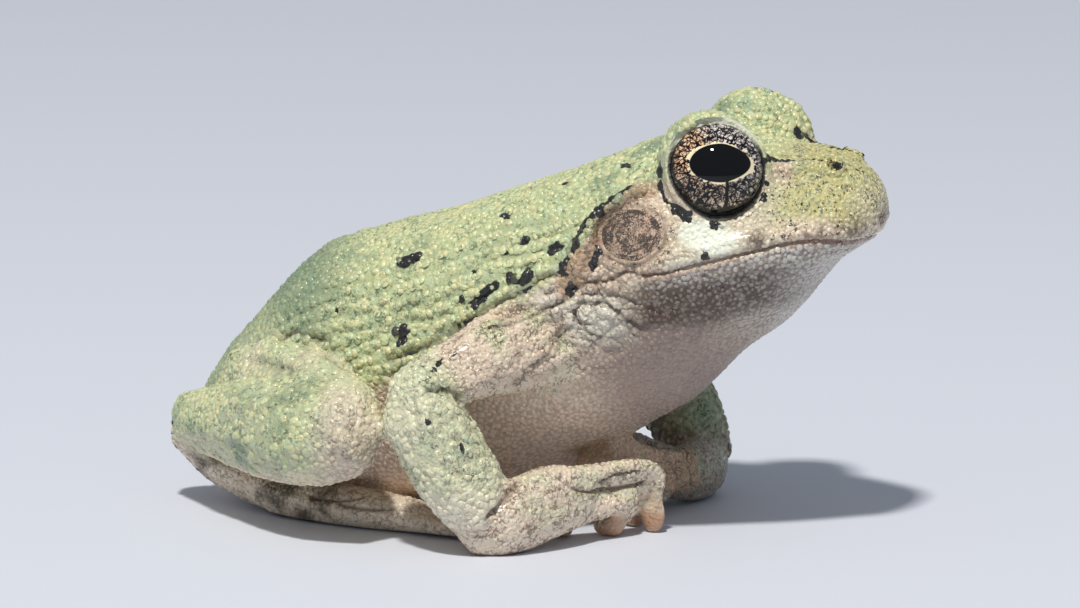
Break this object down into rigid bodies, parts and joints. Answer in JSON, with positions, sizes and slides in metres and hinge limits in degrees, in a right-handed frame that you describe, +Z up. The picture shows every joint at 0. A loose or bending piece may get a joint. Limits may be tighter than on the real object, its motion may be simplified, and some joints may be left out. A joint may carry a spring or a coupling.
{
  "type": "gray tree frog model",
  "caption": "Life-size still model of a gray tree frog sitting with folded legs, head raised and turned slightly, large eyes and rounded toe pads.",
  "frame": {"origin": "middle of the bounding box of the frog, at the floor it sits on", "axes": "+X the way the frog faces, +Y its left, +Z up"},
  "size_m": [0.04, 0.0294, 0.0238],
  "materials": {
    "skin": "soft satin, granular green skin with darker mottling",
    "pale_skin": "soft satin, pale beige skin with fine dark speckle",
    "eye": "polished clear dome over a bronze iris with a black pupil",
    "eardrum": "satin, tan with dense dark speckle"
  },
  "bodies": {
    "root": {"head": "skin", "torso": "skin", "upper_arm_right": "skin", "upper_arm_left": "skin", "forearm_right": "skin", "forearm_left": "skin", "thigh_right": "skin", "thigh_left": "skin", "shank_right": "skin", "shank_left": "skin", "hand_right": "pale_skin", "hand_left": "pale_skin", "foot_right": "pale_skin", "foot_left": "pale_skin", "eye_right": "eye", "eye_left": "eye", "eardrum_right": "eardrum", "eardrum_left": "eardrum"}
  },
  "joints": []
}
